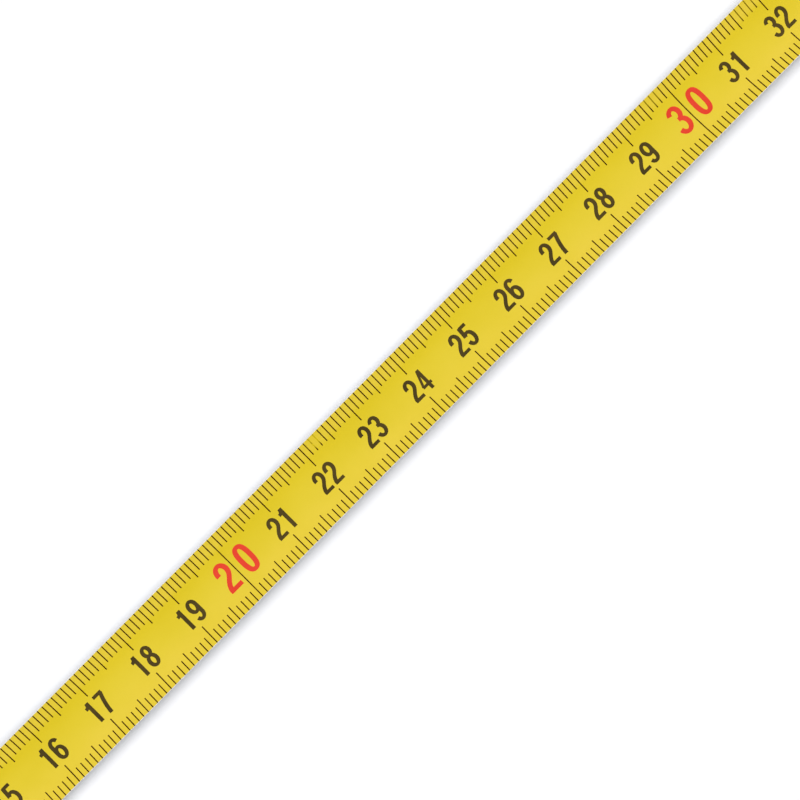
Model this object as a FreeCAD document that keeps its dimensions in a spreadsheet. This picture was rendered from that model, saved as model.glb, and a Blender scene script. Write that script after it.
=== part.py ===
import FreeCAD, Part
import math
import os
import re

import Sketcher
from FreeCAD import Placement, Rotation, Vector

# Pocket tape measure, 3 m x 13 mm, with its blade drawn out and locked.
# Frame: origin at the middle of the case's flat bottom, +Z up, +X from the hook to the case,
# the belt clip on +Y and the label on -Y.  The blade leaves the mouth towards -X.

doc = FreeCAD.newDocument("tape_measure")

# ---------------------------------------------------------------- driving sizes, in mm and degrees

SIZES = [
    # the blade
    ("tape_long", 3050.0),           # whole strip, hook end to spool end
    ("drawn_out", 350.0),            # scale zero to the mouth of the case
    ("blade_wide", 13.0),            # along the curved section
    ("blade_thick", 0.13),
    ("cross_r", 11.7),               # radius of the curved section
    ("blade_up", 6.5),               # underside of the blade's middle above the floor
    ("tail_in", 31.0),               # straight strip inside the case at rest
    ("tail_travel", 15.0),           # how far the strip may slide back in
    ("wrap_pitch", 0.1667),          # from turn to turn in the coil
    ("coil_gap", 0.5),               # coil to the blade's edges
    # spool and spring
    ("drum_r", 17.0),
    ("drum_wall", 1.2),
    ("flange_thick", 0.8),
    ("flange_room", 0.35),           # coil edge to flange, each side
    ("flange_lip", 0.05),            # flange beyond the full coil
    ("axle_r", 3.5),
    ("run_fit", 0.05),               # running clearance on the axle
    ("axle_slot", 0.5),
    ("washer_thick", 0.3),
    ("washer_r", 6.0),
    ("washer_fit", 0.05),
    ("spring_thick", 0.14),
    ("spring_wide", 10.0),
    ("spring_turns", 20.0),
    ("spring_room", 0.4),            # spring to drum
    # the case
    ("spool_room", 0.7),             # flange to chamber
    ("ring_wall", 1.4),
    ("boss_up", 1.2),                # axle boss above the side wall
    ("boss_r", 5.5),
    ("side_wall", 2.9),
    ("wall", 2.4),
    ("top_room", 3.0),
    ("back_room", 2.1),
    ("nose_room", 13.1),
    ("nose_up", 12.0),               # where the front starts to lean back
    ("lean", 20.0),
    ("toe_r", 4.0),
    ("heel_r", 8.0),
    ("back_r", 15.0),
    ("brow_r", 12.0),
    ("nose_r", 6.0),
    ("rim_r", 3.0),
    ("mouth_side", 0.9),             # blade edge to the mouth's side, along the section
    ("mouth_low", 0.9),              # blade to the mouth's sill
    ("mouth_top", 1.1),              # blade's edges to the mouth's lintel
    # soft grips
    ("grip_thick", 1.2),
    ("grip_band", 7.0),
    ("grip_front", -2.0),
    ("grip_low", 14.0),
    # case screws, as a turn about the axle and a reach beyond the ring
    ("low_back_turn", -48.0),
    ("low_back_reach", 4.2),
    ("top_back_turn", 46.0),
    ("top_back_reach", 2.4),
    ("top_front_turn", 133.0),
    ("top_front_reach", 2.2),
    ("nose_turn", 207.0),
    ("nose_reach", 4.1),
    ("screw_r", 1.2),
    ("screw_fit", 0.1),
    ("screw_head_r", 2.2),
    ("screw_head_up", 1.3),
    ("screw_sink", 1.5),             # well depth
    ("screw_tip", 8.0),              # how far past the joint line the tip reaches
    ("screw_boss_r", 2.9),
    # label
    ("label_r", 17.0),
    ("label_thick", 0.6),
    ("label_sink", 0.4),
    ("label_fit", 0.1),
    # mouth pieces
    ("guide_long", 8.5),
    ("guide_side", 0.7),             # guide beyond the mouth's side
    ("guide_fit", 0.15),             # cradle to blade
    ("guide_down", 0.9),             # guide's horns below the blade's edges
    ("bumper_wide", 11.0),
    ("bumper_low", 1.8),
    ("bumper_tall", 2.6),
    ("bumper_proud", 0.5),
    ("bumper_sunk", 1.0),
    # lock
    ("lock_travel", 6.0),
    ("lock_fit", 0.15),
    ("button_low", 10.0),            # along the leaning front, from its foot
    ("button_long", 12.0),
    ("button_wide", 11.0),
    ("button_thick", 2.8),
    ("button_r", 1.2),
    ("stem_low", 13.0),
    ("stem_long", 6.0),
    ("stem_wide", 3.8),
    ("stem_fit", 0.2),
    ("slider_low", 8.0),
    ("slider_long", 19.0),
    ("slider_wide", 9.0),
    ("slider_thick", 1.6),
    ("leg_thick", 2.0),
    ("leg_high", 10.0),
    ("pad_wide", 6.0),
    ("pad_tall", 1.6),
    ("pad_fit", 0.15),
    ("detent_low", 17.0),
    ("detent_long", 8.0),
    ("detent_thick", 0.4),
    ("detent_gap", 0.2),
    # end hook
    ("hook_thick", 0.8),             # also how far it floats
    ("hook_long", 11.0),
    ("hook_low", 0.5),
    ("hook_gap", 0.04),
    ("hook_corner_r", 1.5),
    ("blade_gap", 0.1),              # blade's end to the floated hook
    ("rivet_near", 3.4),
    ("rivet_far", 7.0),
    ("rivet_r", 0.9),
    ("rivet_fit", 0.1),
    ("rivet_head_r", 1.5),
    ("rivet_head_up", 0.5),
    # belt clip
    ("clip_wide", 14.0),
    ("clip_thick", 0.9),
    ("clip_up", 42.0),               # screw height
    ("clip_root_up", 5.0),           # root above the screw
    ("clip_root_down", 5.5),
    ("clip_gap", 2.4),
    ("clip_jog", 4.0),
    ("clip_long", 22.0),             # straight arm
    ("clip_lean", 0.4),
    ("clip_nip", 0.4),               # nip to the case
    ("clip_flare", 4.0),
    ("clip_split", 0.05),
    ("insert_r", 2.2),
    ("insert_long", 2.4),
    ("clip_screw_r", 1.5),
    ("clip_head_r", 2.9),
    ("clip_head_up", 1.4),
]

sheet = doc.addObject("Spreadsheet::Sheet", "dims")
for row, (alias, number) in enumerate(SIZES, start=1):
    sheet.set(f"A{row}", alias)
    sheet.set(f"B{row}", str(number))
    sheet.setAlias(f"B{row}", alias)
doc.recompute()

ALIASES = {alias for alias, number in SIZES}


def tie(words):
    """Turn plain size names in a formula into references to the sheet."""
    return re.sub(r"[a-z_]\w*", lambda m: "dims." + m[0] if m[0] in ALIASES else m[0], words)


def value(words):
    return float(sheet.evalExpression(tie(words)))


def bind(thing, **formulas):
    for name, words in formulas.items():
        thing.setExpression(name.replace("__", "."), tie(str(words)))


# ---------------------------------------------------------------- places worked out from the sizes

HALF_TURN = "(blade_wide / 2 / cross_r * 180 / pi)"          # half the section's angle, degrees
EDGE_UP = f"(cross_r * (1 - cos({HALF_TURN})))"              # blade's edge above its middle
FULL_COIL_R = "sqrt(drum_r ^ 2 + tape_long * wrap_pitch / pi)"
REST_COIL_R = "sqrt(drum_r ^ 2 + (tape_long - drawn_out - tail_in) * wrap_pitch / pi)"
FLANGE_R = f"({FULL_COIL_R} + flange_lip)"
CHAMBER_R = f"({FLANGE_R} + spool_room)"
RING_R = f"({CHAMBER_R} + ring_wall)"
CASE_LONG = f"(2 * {RING_R} + nose_room + back_room)"
BACK_X = f"({CASE_LONG} / 2)"
FRONT_X = f"(-{CASE_LONG} / 2)"
AXLE_X = f"({BACK_X} - back_room - {RING_R})"
AXLE_Z = f"(blade_up + blade_thick + {EDGE_UP} + coil_gap + {REST_COIL_R})"
CASE_TALL = f"({AXLE_Z} + {RING_R} + top_room)"
FLANGE_IN = "(blade_wide / 2 + flange_room)"
FLANGE_OUT = f"({FLANGE_IN} + flange_thick)"
BOSS_Y = f"({FLANGE_OUT} + washer_thick + 2 * washer_fit)"
CHAMBER_Y = f"({BOSS_Y} + boss_up)"
SIDE_Y = f"({CHAMBER_Y} + side_wall)"
ZERO_X = f"({FRONT_X} - drawn_out)"
TAIL_X = f"({FRONT_X} + tail_in)"
SECTION_Z = "(blade_up + cross_r + blade_thick / 2)"         # centre of the curved section
MOUTH_Y = "(blade_wide / 2 + mouth_side)"
MOUTH_TOP_Z = f"(blade_up + blade_thick + {EDGE_UP} + mouth_top)"
PAD_LOW_Z = (f"({SECTION_Z} - sqrt((cross_r - blade_thick / 2) ^ 2 - (pad_wide / 2) ^ 2)"
             " + pad_fit)")
CLIP_FOOT_Z = "(clip_up - clip_root_down)"

SIDES = {"right": -1, "left": 1}


# ---------------------------------------------------------------- ways of making pieces

def new_sketch(body, role, name, lift="0"):
    """A sketch on one of the body's own origin planes, lifted along the plane's normal."""
    plane = next(o for o in body.Origin.OriginFeatures if o.Role == role)
    sketch = body.newObject("Sketcher::SketchObject", name)
    sketch.AttachmentSupport = [(plane, "")]
    sketch.MapMode = "FlatFace"
    bind(sketch, AttachmentOffset__Base__z=lift)
    return sketch


def draw(sketch, corners):
    """A closed outline through (across, up) corners, each held by formulas.

    A corner with a third value starts an arc of that radius, and its fourth value is the arc's
    centre as (across, up).
    """
    spots = [Vector(value(c[0]), value(c[1]), 0) for c in corners]
    for index, corner in enumerate(corners):
        start = spots[index]
        end = spots[(index + 1) % len(corners)]
        line = Part.LineSegment(start, end)
        if len(corner) == 2:
            sketch.addGeometry(line, False)
            continue
        centre = Vector(value(corner[3][0]), value(corner[3][1]), 0)
        angles = [math.atan2(p.y - centre.y, p.x - centre.x) for p in (start, end)]
        turn = (angles[1] - angles[0] + math.pi) % (2 * math.pi) - math.pi
        low, high = (angles[0], angles[0] + turn) if turn > 0 else (angles[1], angles[1] - turn)
        circle = Part.Circle(centre, Vector(0, 0, 1), value(corner[2]))
        sketch.addGeometry(Part.ArcOfCircle(circle, low, high), False)
    for index, corner in enumerate(corners):
        geometry = sketch.Geometry[index]
        follower = (index + 1) % len(corners)
        start_end = 1 if geometry.StartPoint.distanceToPoint(spots[index]) < 1e-6 else 2
        far_end = 3 - start_end
        next_start = sketch.Geometry[follower].StartPoint
        next_end = 1 if next_start.distanceToPoint(spots[follower]) < 1e-6 else 2
        sketch.addConstraint(Sketcher.Constraint("Coincident", index, far_end, follower, next_end))
        for kind, words, number in (("DistanceX", corner[0], spots[index].x),
                                    ("DistanceY", corner[1], spots[index].y)):
            held = sketch.addConstraint(Sketcher.Constraint(kind, -1, 1, index, start_end, number))
            sketch.renameConstraint(held, f"{kind}_{index}")
            sketch.setExpression(f"Constraints.{kind}_{index}", tie(words))
        if len(corner) > 2:
            held = sketch.addConstraint(Sketcher.Constraint("Radius", index, value(corner[2])))
            sketch.renameConstraint(held, f"Radius_{index}")
            sketch.setExpression(f"Constraints.Radius_{index}", tie(corner[2]))


def padded(label, role, corners, lift, length):
    """A body padded from an outline, from lift along the plane's normal for length."""
    body = doc.addObject("PartDesign::Body", label)
    sketch = new_sketch(body, role, label + "_outline", lift)
    draw(sketch, corners)
    pad = body.newObject("PartDesign::Pad", label + "_pad")
    pad.Profile = sketch
    bind(pad, Length=length)
    doc.recompute()
    return body


def edges_through(shape, spots):
    """Names of the edges that pass through the given points."""
    names = []
    for number, edge in enumerate(shape.Edges, start=1):
        if any(edge.distToShape(Part.Vertex(spot))[0] < 1e-4 for spot in spots):
            names.append(f"Edge{number}")
    return names


def rounded(body, name, radius, spots):
    """Fillet the body's edges that pass through the given points."""
    base, names = body.Tip, edges_through(body.Shape, spots)
    fillet = body.newObject("PartDesign::Fillet", name)
    fillet.Base = (base, names)
    bind(fillet, Radius=radius)
    doc.recompute()


def turned(label, profile, x, z):
    """A lathe piece from (radius, along) corners, its axis on +Y through (x, z)."""
    body = doc.addObject("PartDesign::Body", label)
    sketch = new_sketch(body, "XZ_Plane", label + "_profile")
    draw(sketch, profile)
    revolution = body.newObject("PartDesign::Revolution", label + "_turn")
    revolution.Profile = sketch
    revolution.ReferenceAxis = (sketch, ["V_Axis"])
    revolution.Angle = 360
    body.Placement = Placement(Vector(), Rotation(Vector(1, 0, 0), -90))
    bind(body, Placement__Base__x=x, Placement__Base__z=z)
    doc.recompute()
    return body


def rod(name, radius, x, z, low, high):
    """A cylinder along Y."""
    piece = doc.addObject("Part::Cylinder", name)
    piece.Placement = Placement(Vector(), Rotation(Vector(1, 0, 0), -90))
    bind(piece, Radius=radius, Height=f"{high} - ({low})",
         Placement__Base__x=x, Placement__Base__y=low, Placement__Base__z=z)
    return piece


def block(name, xs, ys, zs):
    """A box between low and high formulas on each axis."""
    piece = doc.addObject("Part::Box", name)
    bind(piece, Length=f"{xs[1]} - ({xs[0]})", Width=f"{ys[1]} - ({ys[0]})",
         Height=f"{zs[1]} - ({zs[0]})",
         Placement__Base__x=xs[0], Placement__Base__y=ys[0], Placement__Base__z=zs[0])
    return piece


def front_block(name, ins, ys, ups):
    """A box in the leaning front's frame: in from its face, across, and up along it."""
    piece = doc.addObject("Part::Box", name)
    piece.Placement = Placement(Vector(), Rotation(Vector(0, 1, 0), value("lean")))
    bind(piece, Length=f"{ins[1]} - ({ins[0]})", Width=f"{ys[1]} - ({ys[0]})",
         Height=f"{ups[1]} - ({ups[0]})", Placement__Rotation__Angle="lean",
         Placement__Base__x=f"{FRONT_X} + ({ins[0]}) * cos(lean) + ({ups[0]}) * sin(lean)",
         Placement__Base__y=ys[0],
         Placement__Base__z=f"nose_up - ({ins[0]}) * sin(lean) + ({ups[0]}) * cos(lean)")
    return piece


def join(kind, name, pieces):
    """A Part boolean of several pieces: MultiFuse or MultiCommon."""
    result = doc.addObject(f"Part::{kind}", name)
    result.Shapes = pieces
    return result


def carve(name, base, tools):
    """The base with every tool taken away."""
    result = doc.addObject("Part::Cut", name)
    result.Base = base
    result.Tool = tools[0] if len(tools) == 1 else join("MultiFuse", name + "_tools", tools)
    return result


def group(name, pieces):
    """Like pieces, each still a solid of its own, in one node."""
    result = doc.addObject("Part::Compound", name)
    result.Links = pieces
    return result


nodes = []


def keep(piece, label):
    piece.Label = label
    nodes.append(piece)
    return piece


# ---------------------------------------------------------------- case shells, grips and label

def outline(inset):
    """The case's side view, drawn in by inset: toe, heel, back, brow and nose corners."""
    low = f"({FRONT_X} + {inset})"
    brow_x = (f"({FRONT_X} + ({CASE_TALL} - {inset} - nose_up) * tan(lean)"
              f" + {inset} / cos(lean))")
    return [
        (low, inset, "toe_r"),
        (f"({BACK_X} - {inset})", inset, "heel_r"),
        (f"({BACK_X} - {inset})", f"({CASE_TALL} - {inset})", "back_r"),
        (brow_x, f"({CASE_TALL} - {inset})", "brow_r"),
        (low, f"(nose_up - {inset} * tan(lean / 2))", "nose_r"),
    ]


def outline_solid(label, side, inset, depth, rim):
    """Half of the case's outer or inner form, from the joint line outwards."""
    corners = outline(inset)
    lift = "0" if side < 0 else f"-{depth}"
    body = padded(label, "XZ_Plane", [c[:2] for c in corners], lift, depth)
    middle = side * value(depth) / 2
    for index, (across, up, radius) in enumerate(corners):
        spot = Vector(value(across), middle, value(up))
        rounded(body, f"{label}_corner_{index}", f"{radius} - {inset}", [spot])
    if rim:
        outer = side * value(depth)
        flat = [e for e in body.Shape.Edges
                if abs(e.BoundBox.YMin - outer) < 1e-6 and abs(e.BoundBox.YMax - outer) < 1e-6]
        middles = [e.valueAt((e.FirstParameter + e.LastParameter) / 2) for e in flat]
        rounded(body, label + "_rim", "rim_r", middles)
    return body


def corner_solid(label, side, inset, depth):
    """A block as high and long as the case less inset, with its back top corner rounded."""
    corners = [(f"{FRONT_X} * 2", f"-{CASE_TALL}"),
               (f"{BACK_X} - {inset}", f"-{CASE_TALL}"),
               (f"{BACK_X} - {inset}", f"{CASE_TALL} - {inset}"),
               (f"{FRONT_X} * 2", f"{CASE_TALL} - {inset}")]
    lift = "0" if side < 0 else f"-{depth}"
    body = padded(label, "XZ_Plane", corners, lift, depth)
    spot = Vector(value(corners[2][0]), side * value(depth) / 2, value(corners[2][1]))
    rounded(body, label + "_corner", f"back_r - {inset}", [spot])
    return body


def span(side, low, high):
    """Two distances from the joint line, as low and high Y on one side."""
    return (low, high) if side > 0 else (f"-({high})", f"-({low})")


SCREWS = ["low_back", "top_back", "top_front", "nose"]


def screw_spot(name):
    reach = f"({RING_R} + {name}_reach)"
    return (f"({AXLE_X} + {reach} * cos({name}_turn))",
            f"({AXLE_Z} + {reach} * sin({name}_turn))")


def screw_holes(word, side):
    """Wells and clearance holes on the left, pilot holes on the right."""
    holes = []
    for name in SCREWS:
        x, z = screw_spot(name)
        if side > 0:
            holes.append(rod(f"well_{name}", "screw_head_r + screw_fit * 2", x, z,
                             f"{SIDE_Y} - screw_sink", f"{SIDE_Y} + 1"))
            holes.append(rod(f"hole_{name}", "screw_r + screw_fit", x, z, "-1", SIDE_Y))
        else:
            holes.append(rod(f"pilot_{name}", "screw_r", x, z, "-(screw_tip + 0.5)", "0"))
    return holes


def grip_half(word, side):
    """The soft overmould that wraps the back and top of one shell."""
    form = outline_solid(f"grip_form_{word}", side, "0", SIDE_Y, True)
    zone = block(f"grip_zone_{word}", ("grip_front", f"{BACK_X} + 1"),
                 span(side, "0", f"({SIDE_Y} + 1)"), ("grip_low", f"{CASE_TALL} + 1"))
    core = corner_solid(f"grip_core_{word}", side, "grip_thick", f"({SIDE_Y} - grip_thick)")
    window = corner_solid(f"grip_window_{word}", side, "grip_band", f"({SIDE_Y} + 1)")
    wrap = join("MultiCommon", f"grip_wrap_{word}", [form, zone])
    return carve(f"grip_skin_{word}", wrap, [core, window])


def shell(word, side, skin):
    """One moulded half of the case: walls, spool ring, screw bosses and axle boss."""
    form = outline_solid(f"form_{word}", side, "0", SIDE_Y, True)
    hollow = outline_solid(f"hollow_{word}", side, "wall", CHAMBER_Y, False)
    hollows.append(hollow)
    walls = carve(f"walls_{word}", form, [hollow])
    low, high = span(side, "0", CHAMBER_Y)
    ring = carve(f"ring_{word}", rod(f"ring_out_{word}", RING_R, AXLE_X, AXLE_Z, low, high),
                 [rod(f"ring_in_{word}", CHAMBER_R, AXLE_X, AXLE_Z, low, high)])
    bosses = [rod(f"boss_{name}_{word}", "screw_boss_r", *screw_spot(name), low, high)
              for name in SCREWS]
    boss = rod(f"axle_boss_{word}", "boss_r", AXLE_X, AXLE_Z, *span(side, BOSS_Y, CHAMBER_Y))
    body = join("MultiFuse", f"shell_{word}", [walls, ring, boss] + bosses)
    half_mouth = span(side, "0", MOUTH_Y)
    cuts = [
        block(f"mouth_{word}", (f"{FRONT_X} - 1", f"{TAIL_X} + tail_travel + 2"), half_mouth,
              ("blade_up - mouth_low", MOUTH_TOP_Z)),
        front_block(f"lock_slot_{word}", ("-1", "wall + 1"),
                    span(side, "0", "(stem_wide / 2 + stem_fit)"),
                    ("stem_low - stem_fit", "stem_low + stem_long + lock_travel + stem_fit")),
        block(f"bumper_seat_{word}", (f"{FRONT_X} - 1", f"{FRONT_X} + bumper_sunk"),
              span(side, "0", "(bumper_wide / 2)"), ("bumper_low", "bumper_low + bumper_tall")),
        rod(f"axle_seat_{word}", "axle_r", AXLE_X, AXLE_Z,
            *span(side, "0", f"({CHAMBER_Y} + side_wall / 2)")),
    ]
    if side < 0:
        cuts.append(rod("label_seat", "label_r + label_fit", AXLE_X, AXLE_Z,
                        f"-({SIDE_Y} + 1)", f"-({SIDE_Y} - label_sink)"))
    else:
        cuts.append(rod("insert_seat", "insert_r", AXLE_X, "clip_up",
                        f"{SIDE_Y} - insert_long", f"{SIDE_Y} + 1"))
    return carve(f"case_cut_{word}", body, cuts + screw_holes(word, side) + [skin])


hollows = []
for word, side in SIDES.items():
    skin = grip_half(word, side)
    keep(shell(word, side, skin), f"case_{word}")
    if side > 0:
        wells = [rod(f"grip_well_{name}", "screw_head_r + screw_fit * 2", *screw_spot(name),
                     f"{SIDE_Y} - screw_sink", f"{SIDE_Y} + 1") for name in SCREWS]
        skin = carve("grip_bored", skin, wells)
    keep(skin, f"grip_{word}")

keep(turned("label", [("0", f"-({SIDE_Y} - label_sink + label_thick)"),
                      ("label_r", f"-({SIDE_Y} - label_sink + label_thick)"),
                      ("label_r", f"-({SIDE_Y} - label_sink)"),
                      ("0", f"-({SIDE_Y} - label_sink)")], AXLE_X, AXLE_Z), "label_plate")


def case_screw(name):
    """A pan-head screw with a cross recess, driven in from the left."""
    head = f"({SIDE_Y} - screw_sink)"
    stock = turned(f"screw_{name}", [("0", "-screw_tip"), ("screw_r * 0.6", "-screw_tip"),
                                     ("screw_r", "-screw_tip + 1"), ("screw_r", head),
                                     ("screw_head_r", head),
                                     ("screw_head_r", f"{head} + screw_head_up * 0.5"),
                                     ("screw_head_r * 0.6", f"{head} + screw_head_up"),
                                     ("0", f"{head} + screw_head_up")], *screw_spot(name))
    x, z = screw_spot(name)
    arm, bit = "screw_head_r * 0.55", "screw_head_r * 0.14"
    recess = (f"{head} + screw_head_up * 0.4", f"{head} + screw_head_up + 1")
    bars = [block(f"bar_x_{name}", (f"{x} - {arm}", f"{x} + {arm}"), recess,
                  (f"{z} - {bit}", f"{z} + {bit}")),
            block(f"bar_z_{name}", (f"{x} - {bit}", f"{x} + {bit}"), recess,
                  (f"{z} - {arm}", f"{z} + {arm}"))]
    return carve(f"driven_{name}", stock, bars)


keep(group("screws", [case_screw(name) for name in SCREWS]), "case_screws")

# ---------------------------------------------------------------- axle, spool, spring and coil

axle_end = f"({CHAMBER_Y} + side_wall / 2)"
axle = turned("axle", [("0", f"-{axle_end}"), ("axle_r", f"-{axle_end}"),
                       ("axle_r", axle_end), ("0", axle_end)], AXLE_X, AXLE_Z)
slot = block("axle_slit", (f"{AXLE_X} - axle_slot / 2", f"{AXLE_X} + axle_slot / 2"),
             ("-spring_wide / 2 - 0.5", "spring_wide / 2 + 0.5"),
             (AXLE_Z, f"{AXLE_Z} + axle_r + 1"))
keep(carve("axle_cut", axle, [slot]), "axle_post")

washers = []
for word, side in SIDES.items():
    faces = span(side, f"({FLANGE_OUT} + washer_fit)", f"({FLANGE_OUT} + washer_fit + washer_thick)")
    washers.append(turned(f"washer_{word}", [("axle_r + run_fit", faces[0]), ("washer_r", faces[0]),
                                             ("washer_r", faces[1]),
                                             ("axle_r + run_fit", faces[1])], AXLE_X, AXLE_Z))
keep(group("washers", washers), "spool_washers")

bore = "axle_r + run_fit"
keep(turned("drum", [(bore, f"-{FLANGE_OUT}"), (FLANGE_R, f"-{FLANGE_OUT}"),
                     (FLANGE_R, f"-{FLANGE_IN}"), ("drum_r", f"-{FLANGE_IN}"),
                     ("drum_r", FLANGE_IN), ("drum_r - drum_wall", FLANGE_IN),
                     ("drum_r - drum_wall", f"-{FLANGE_IN}"),
                     (bore, f"-{FLANGE_IN}")], AXLE_X, AXLE_Z), "spool")

lip = "drum_r - drum_wall - run_fit"
keep(turned("cover", [(bore, FLANGE_IN), (f"{lip} - drum_wall", FLANGE_IN),
                      (f"{lip} - drum_wall", f"{FLANGE_IN} - flange_thick"),
                      (lip, f"{FLANGE_IN} - flange_thick"), (lip, FLANGE_IN),
                      (FLANGE_R, FLANGE_IN), (FLANGE_R, FLANGE_OUT),
                      (bore, FLANGE_OUT)], AXLE_X, AXLE_Z), "spool_cover")


def wound_strip(inner_r, pitch, half_turns, thick, wide):
    """A flat strip wound in half circles about two centres, one half pitch apart."""
    def side_arcs(offset):
        arcs = []
        for step in range(half_turns):
            sign = 1 if step % 2 == 0 else -1
            centre = Vector(0 if sign > 0 else pitch / 2, 0, 0)
            radius = inner_r + offset + step * pitch / 2
            start = centre + Vector(sign * radius, 0, 0)
            middle = centre + Vector(0, 0, -sign * radius)
            end = centre + Vector(-sign * radius, 0, 0)
            arcs.append((start, middle, end))
        return arcs

    inner, outer = side_arcs(0.0), side_arcs(thick)
    edges = [Part.Arc(*arc).toShape() for arc in inner]
    edges.append(Part.LineSegment(inner[-1][2], outer[-1][2]).toShape())
    edges += [Part.Arc(arc[2], arc[1], arc[0]).toShape() for arc in reversed(outer)]
    edges.append(Part.LineSegment(outer[0][0], inner[0][0]).toShape())
    face = Part.Face(Part.Wire(edges))
    face.translate(Vector(0, -wide / 2, 0))
    return face.extrude(Vector(0, wide, 0))


def wound_piece(label, strip):
    piece = doc.addObject("Part::Feature", label)
    piece.Shape = strip
    bind(piece, Placement__Base__x=AXLE_X, Placement__Base__z=AXLE_Z)
    return keep(piece, label)


coil_half_turns = round(2 * (value(REST_COIL_R) - value("drum_r")) / value("wrap_pitch"))
wound_piece("blade_coil", wound_strip(value("drum_r"), value("wrap_pitch"), coil_half_turns,
                                      value("blade_thick"), value("blade_wide")))

spring_inner = value("axle_r + run_fit * 2")
spring_pitch = value(f"(drum_r - drum_wall - spring_room - spring_thick - {spring_inner})"
                     " / spring_turns")
wound_piece("power_spring", wound_strip(spring_inner, spring_pitch,
                                        round(2 * value("spring_turns")),
                                        value("spring_thick"), value("spring_wide")))

# ---------------------------------------------------------------- blade, end hook and rivets


def section(inner_r, outer_r, part_turn):
    """The curved section between two radii, as an outline on the YZ plane."""
    out = f"sin({part_turn})"
    down = f"cos({part_turn})"
    centre = ("0", SECTION_Z)
    return [(f"-({outer_r}) * {out}", f"{SECTION_Z} - ({outer_r}) * {down}", outer_r, centre),
            (f"({outer_r}) * {out}", f"{SECTION_Z} - ({outer_r}) * {down}"),
            (f"({inner_r}) * {out}", f"{SECTION_Z} - ({inner_r}) * {down}", inner_r, centre),
            (f"-({inner_r}) * {out}", f"{SECTION_Z} - ({inner_r}) * {down}")]


def upright(name, radius, x, low, high):
    """A cylinder along Z on the blade's middle line."""
    piece = doc.addObject("Part::Cylinder", name)
    bind(piece, Radius=radius, Height=f"{high} - ({low})",
         Placement__Base__x=x, Placement__Base__z=low)
    return piece


RIVETS = ["rivet_near", "rivet_far"]
UNDER_R = "(cross_r + blade_thick / 2)"
BLADE_END_X = f"({ZERO_X} + hook_thick + blade_gap)"

strip = padded("strip", "YZ_Plane", section("cross_r - blade_thick / 2", UNDER_R, HALF_TURN),
               BLADE_END_X, f"{TAIL_X} - {BLADE_END_X}")
holes = [upright(f"strip_{name}", "rivet_r", f"{ZERO_X} + {name}", "0", "blade_up + cross_r")
         for name in RIVETS]
keep(carve("strip_cut", strip, holes), "blade")

HOOK_IN = f"({UNDER_R} + hook_gap)"
HOOK_OUT = f"({HOOK_IN} + hook_thick)"
HOOK_TURN = f"({HALF_TURN} * 0.94)"
plate = padded("hook_plate", "YZ_Plane", section(HOOK_IN, HOOK_OUT, HOOK_TURN),
               f"{ZERO_X} - hook_thick", "hook_long + hook_thick")
tab_side = f"{HOOK_OUT} * sin({HOOK_TURN})"
tab_top = f"{SECTION_Z} - {HOOK_OUT} * cos({HOOK_TURN})"
tab = padded("hook_tab", "YZ_Plane",
             [(f"-{tab_side}", "hook_low"), (tab_side, "hook_low"),
              (tab_side, tab_top, HOOK_OUT, ("0", SECTION_Z)), (f"-{tab_side}", tab_top)],
             f"{ZERO_X} - hook_thick", "hook_thick")
tab_x = value(f"{ZERO_X} - hook_thick / 2")
rounded(tab, "hook_tab_corners", "hook_corner_r",
        [Vector(tab_x, sign * value(tab_side), value("hook_low")) for sign in (-1, 1)])
slots = []
for name in RIVETS:
    x = f"({ZERO_X} + {name})"
    slot_r = "(rivet_r + rivet_fit)"
    for end, shift in (("in", "0"), ("out", "hook_thick")):
        slots.append(upright(f"slot_{end}_{name}", slot_r, f"{x} - {shift}", "0", "blade_up + 2"))
    slots.append(block(f"slot_{name}", (f"{x} - hook_thick", x), (f"-{slot_r}", slot_r),
                       ("0", "blade_up + 2")))
hook = join("MultiFuse", "hook_stock", [plate, tab])
keep(carve("hook_cut", hook, slots), "end_hook")


def rivet(name):
    """Shank through blade and hook with a head on each side."""
    head_z = (f"({SECTION_Z} - sqrt((cross_r - blade_thick / 2) ^ 2 - rivet_head_r ^ 2)"
              " + blade_gap / 5)")
    foot_z = "(blade_up - hook_gap * 2 - hook_thick)"
    body = doc.addObject("PartDesign::Body", "made_" + name)
    sketch = new_sketch(body, "XZ_Plane", name + "_profile")
    draw(sketch, [("0", f"{foot_z} - rivet_head_up"),
                  ("rivet_head_r * 0.6", f"{foot_z} - rivet_head_up"),
                  ("rivet_head_r", f"{foot_z} - rivet_head_up / 2"), ("rivet_head_r", foot_z),
                  ("rivet_r", foot_z), ("rivet_r", head_z), ("rivet_head_r", head_z),
                  ("rivet_head_r", f"{head_z} + rivet_head_up / 2"),
                  ("rivet_head_r * 0.6", f"{head_z} + rivet_head_up"),
                  ("0", f"{head_z} + rivet_head_up")])
    revolution = body.newObject("PartDesign::Revolution", name + "_turn")
    revolution.Profile = sketch
    revolution.ReferenceAxis = (sketch, ["V_Axis"])
    revolution.Angle = 360
    bind(body, Placement__Base__x=f"{ZERO_X} + {name}")
    return body


keep(group("rivets", [rivet(name) for name in RIVETS]), "hook_rivets")

# ---------------------------------------------------------------- mouth guide and bumper

guide_x = f"({FRONT_X} + wall)"
guide = block("guide_stock", (guide_x, f"{guide_x} + guide_long"),
              (f"-({MOUTH_Y} + guide_side)", f"{MOUTH_Y} + guide_side"),
              ("wall", f"blade_up + {EDGE_UP} - guide_down"))
cradle = doc.addObject("Part::Cylinder", "guide_cradle")
cradle.Placement = Placement(Vector(), Rotation(Vector(0, 1, 0), 90))
bind(cradle, Radius=f"{UNDER_R} + guide_fit", Height="guide_long + 2",
     Placement__Base__x=f"{guide_x} - 1", Placement__Base__z=SECTION_Z)
inner_form = join("MultiFuse", "inner_form", hollows)
keep(join("MultiCommon", "guide_fitted", [carve("guide_cut", guide, [cradle]), inner_form]),
     "mouth_guide")

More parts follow.
